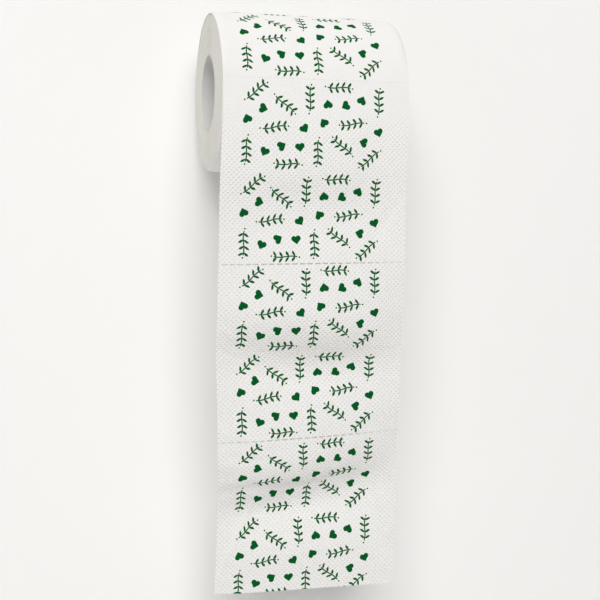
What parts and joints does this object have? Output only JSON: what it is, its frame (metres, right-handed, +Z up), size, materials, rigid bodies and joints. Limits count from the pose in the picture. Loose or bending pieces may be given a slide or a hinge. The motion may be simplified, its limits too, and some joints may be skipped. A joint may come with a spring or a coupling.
{
  "type": "toilet paper roll",
  "caption": "Toilet paper roll wound on a board tube, with printed, perforated sheets hanging from the front of the roll.",
  "frame": {"origin": "centre of the core's bore, halfway along the roll", "axes": "+X along the roll's axis, -Y towards the side where the sheets hang, +Z up"},
  "size_m": [0.1, 0.0875, 0.3158],
  "materials": {
    "tissue": "soft matt embossed tissue with a small green print",
    "tube_board": "matt greyboard wound in a spiral"
  },
  "bodies": {
    "root": {"paper_roll": "tissue", "core_tube": "tube_board"}
  },
  "joints": []
}
